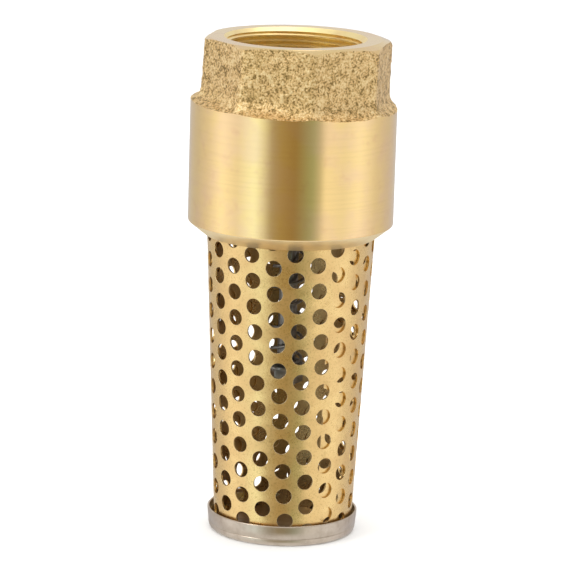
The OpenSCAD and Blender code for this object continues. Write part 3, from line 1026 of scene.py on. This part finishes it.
# %% Guides
def bar(name, corners, thickness):
    """A flat bar that stands in the XZ plane, from (distance from the axis, height) corners."""
    bpy.ops.object.select_all(action="DESELECT")
    bpy.ops.mesh.primitive_circle_add(vertices=len(corners), radius=MM)
    piece = added(name)
    mesh = bmesh.from_edit_mesh(piece.data)
    for vertex, (x, z) in zip(mesh.verts, corners):
        vertex.co = (x * MM, 0, z * MM)
    bmesh.update_edit_mesh(piece.data)
    bpy.ops.mesh.edge_face_add()
    done()
    apply_modifier(piece, "SOLIDIFY", thickness=thickness * MM, offset=0)
    return piece


def spin_copies(piece, turns):
    """Turned copies of a piece around the axis, each with its own mesh."""
    copies = []
    for degrees in turns:
        only(piece)
        bpy.ops.object.duplicate()
        copy = edit(bpy.context.object)
        bpy.ops.mesh.select_all(action="SELECT")
        turn(-math.radians(degrees))
        copies.append(done())
    bpy.data.objects.remove(piece)
    return copies


def guide(name, hub, rim, arm):
    piece = turned(name, hub, closed=True)
    for part in (turned("rim", rim, closed=True), *spin_copies(arm, (90, 210, 330))):
        carve(piece, part, "UNION")
    return smooth(soften(piece, 0.35))


def tube_outline(r_in, r_out, low_z, high_z):
    return [(r_out, low_z), (r_out, high_z), (r_in, high_z), (r_in, low_z)]


STEM_R = 4.0
HUB_R = STEM_R + 3.5
BUSH_R = STEM_R + 1.5
ARM_IN = 6.3
upper = guide(
    "upper_spider",
    tube_outline(BUSH_R, HUB_R, low("upper_guide"), high("upper_guide")),
    tube_outline(34.5, reach("upper_guide"), GUIDE_ARM_Z, GUIDE_ARM_TOP),
    bar("arm", [(ARM_IN, GUIDE_ARM_Z), (36, GUIDE_ARM_Z), (36, GUIDE_ARM_TOP),
                (20, GUIDE_ARM_TOP), (ARM_IN, GUIDE_ARM_TOP)], 5),
)
finish(upper, "housing", BORE_PAINTED_LIGHT, "upper_guide")

# %% Lower guide
HUB_LOW = low("lower_guide")
CLAMP_LOW = high("strainer_collar")
CLAMP_TOP = CLAMP_LOW + 2.6
RIM_IN = 35.3
lower = guide(
    "lower_spider",
    tube_outline(BUSH_R, HUB_R, HUB_LOW, HUB_LOW + 10),
    tube_outline(RIM_IN, reach("lower_guide"), CLAMP_LOW, high("lower_guide")),
    bar("web", [(ARM_IN, HUB_LOW + 0.5), (10.5, HUB_LOW + 0.5), (RIM_IN - 1, CLAMP_LOW),
                (RIM_IN + 1, CLAMP_LOW), (RIM_IN + 1, CLAMP_TOP), (RIM_IN - 6, CLAMP_TOP),
                (11.5, HUB_LOW + 9.5), (ARM_IN, HUB_LOW + 9.5)], 3.5),
)
finish(lower, "housing", BORE_PAINTED_LIGHT, "lower_guide")

# %% [markdown]
# ## The return spring
# A compression spring is wound from one wire, with its end turns closed so that it stands flat.
# Here a small ring of points is screwed around the axis three times: a closed turn, the open
# turns, and a closed turn again. The spring shortens as the poppet lifts; here it gets a mesh of
# its own.

# %% Spring
WIRE_R = 0.7
COIL_R = 6.5
COIL_STEPS = 40
SPRING_LOW = low("return_spring") + WIRE_R
SPRING_HIGH = high("return_spring") - WIRE_R
OPEN_TURNS = 5.5
CLOSED = 2 * WIRE_R * 1.02


def spring_turns(name, start_z, pitch, turns, start_turn):
    """A stretch of wire that climbs by pitch for each turn, and its last ring's height."""
    bpy.ops.object.select_all(action="DESELECT")
    bpy.ops.mesh.primitive_circle_add(vertices=10, radius=WIRE_R * MM)
    wire = added(name)
    turn(math.pi / 2, "X")
    bpy.ops.transform.translate(value=(COIL_R * MM, 0, start_z * MM))
    turn(-math.tau * start_turn)
    done()
    steps = round(COIL_STEPS * turns)
    apply_modifier(wire, "SCREW", angle=math.tau * turns, screw_offset=pitch * turns * MM,
                   iterations=1, steps=steps, render_steps=steps, use_merge_vertices=False)
    return wire, start_z + pitch * turns


def return_spring():
    open_pitch = (SPRING_HIGH - SPRING_LOW - 2 * CLOSED) / OPEN_TURNS
    coil, z = spring_turns("return_coil", SPRING_LOW, CLOSED, 1, 0)
    middle, z = spring_turns("open_turns", z, open_pitch, OPEN_TURNS, 0)
    end, _ = spring_turns("end_turn", z, CLOSED, 1, OPEN_TURNS)
    only(coil)
    middle.select_set(True)
    end.select_set(True)
    bpy.ops.object.join()
    edit(coil)
    bpy.ops.mesh.select_all(action="SELECT")
    bpy.ops.mesh.remove_doubles(threshold=2e-5)
    close_openings()
    return done()


spring = finish(smooth(return_spring(), 60), "housing", STEEL, "return_spring")
heights = [v.co.z / MM for v in spring.data.vertices]
print("spring is", round(max(heights) - min(heights), 2), "mm long")
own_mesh(spring)

# %% [markdown]
# ## The poppet
# The moving part is a stack on one stem: a brass disc, a rubber seal held up by a brass plate, a
# lock washer and a nut, and far below, on the stem's tail, a washer and a nut that hold the
# spring. All are bar-turned.

# %% Poppet
def stem_rod():
    foot, head = low("poppet_stem"), high("poppet_stem")
    collar = high("poppet_disc")
    threads = []
    z = foot + 1.4
    while z < high("tail_nut") + 2:
        threads += [(STEM_R, z), (STEM_R - 0.35, z + 0.35), (STEM_R, z + 0.7)]
        z += 1.0
    return turned("poppet_rod", [
        (STEM_R - 0.9, foot), (STEM_R, foot + 0.9), *threads, (STEM_R, collar),
        (HUB_R - 0.4, collar), (HUB_R, collar + 0.4), (HUB_R, collar + 3),
        (HUB_R - 0.5, collar + 3.5), (STEM_R, collar + 3.5), (STEM_R, head - 1),
        (STEM_R - 1, head),
    ], steps=48)


def hexagon_nut(name, node):
    """A nut: a six-sided bar with turned-off corners and a bore."""
    z0, z1 = low(node), high(node)
    across = 6.5
    corner = across / math.cos(math.radians(30))
    bpy.ops.object.select_all(action="DESELECT")
    bpy.ops.mesh.primitive_circle_add(vertices=6, radius=corner * MM)
    nut = added(name)
    turn(-math.radians(30))
    bpy.ops.transform.translate(value=(0, 0, z0 * MM))
    extrude_up(z1 - z0)
    close_openings()
    done()
    carve(nut, turned("corners", [
        (across, z0), (corner + 0.05, z0 + 0.6), (corner + 0.05, z1 - 0.6), (across, z1),
    ], steps=96), "INTERSECT")
    carve(nut, turned("bore", [
        (STEM_R + 0.5, z0 - 0.1), (STEM_R, z0 + 0.5), (STEM_R, z1 - 0.5), (STEM_R + 0.5, z1 + 0.1),
    ], steps=48))
    return smooth(soften(nut, 0.15), 30)


def valve_disc():
    bottom, top = low("poppet_disc"), high("poppet_disc")
    edge = reach("poppet_disc")
    face = bottom + 1
    return turned("poppet_plate", [
        (STEM_R + 0.1, face), (edge - 1.4, face), (edge - 1.4, bottom), (edge - 0.3, bottom),
        (edge, bottom + 0.3), (edge, top - 4.4), (edge - 0.4, top - 3.6), (edge - 1.2, top - 3),
        (15, top - 2), (HUB_R + 0.6, top - 2), (HUB_R, top - 1.5), (HUB_R, top - 0.4),
        (HUB_R - 0.4, top), (STEM_R + 0.1, top),
    ], closed=True)


finish(smooth(stem_rod(), 30), "poppet", STEEL, "poppet_stem")
finish(hexagon_nut("lock_nut", "stem_nut"), "poppet", STEEL, "stem_nut")
finish(hexagon_nut("spring_nut", "tail_nut"), "poppet", STEEL, "tail_nut")
finish(smooth(valve_disc()), "poppet", TURNED, "poppet_disc")

# %% Seat ring
def seat():
    z0 = low("seat_ring")
    outer = reach("seat_ring")
    return turned("seat_insert", [
        (30, z0), (outer - 0.3, z0), (outer, z0 + 0.3), (outer, z0 + 1.6), (outer - 2.4, z0 + 1.6),
        (outer - 2.4, z0 + 4.4), (outer, z0 + 4.4), (outer, z0 + 5.7), (outer - 0.3, z0 + 6),
        (27.1, z0 + 6), (26.6, z0 + 7.3), *arc((26.1, z0 + 7), 0.5, 30, 90, 3),
        *arc((24.6, z0 + 6.9), 0.6, 90, 180, 4), *arc((27.5, z0 + 3.5), 3.5, 180, 250, 6),
    ], closed=True)


finish(smooth(seat()), "housing", TURNED, "seat_ring")

# %% [markdown]
# ## Pieces that stay as drawn
# Bushes, washers, the seal and the rings are already right in the CAD frame. They only get their
# finish.

# %% Finishes for the CAD pieces
DRAWN = {
    "guide_retaining_ring": STEEL, "upper_bush": BRONZE, "lower_bush": BRONZE,
    "spring_washer": STEEL, "lock_washer": STEEL, "poppet_seal": RUBBER, "seat_o_ring": RUBBER,
    "seal_retainer": TURNED, "strainer_collar": BORE_PAINTED_LIGHT,
}
for node, material in DRAWN.items():
    drawn = bpy.data.objects[node]
    if not drawn.material_slots:
        drawn.data.materials.append(material)
    for slot in drawn.material_slots:
        slot.material = material
    print(node, "gets", material.name)
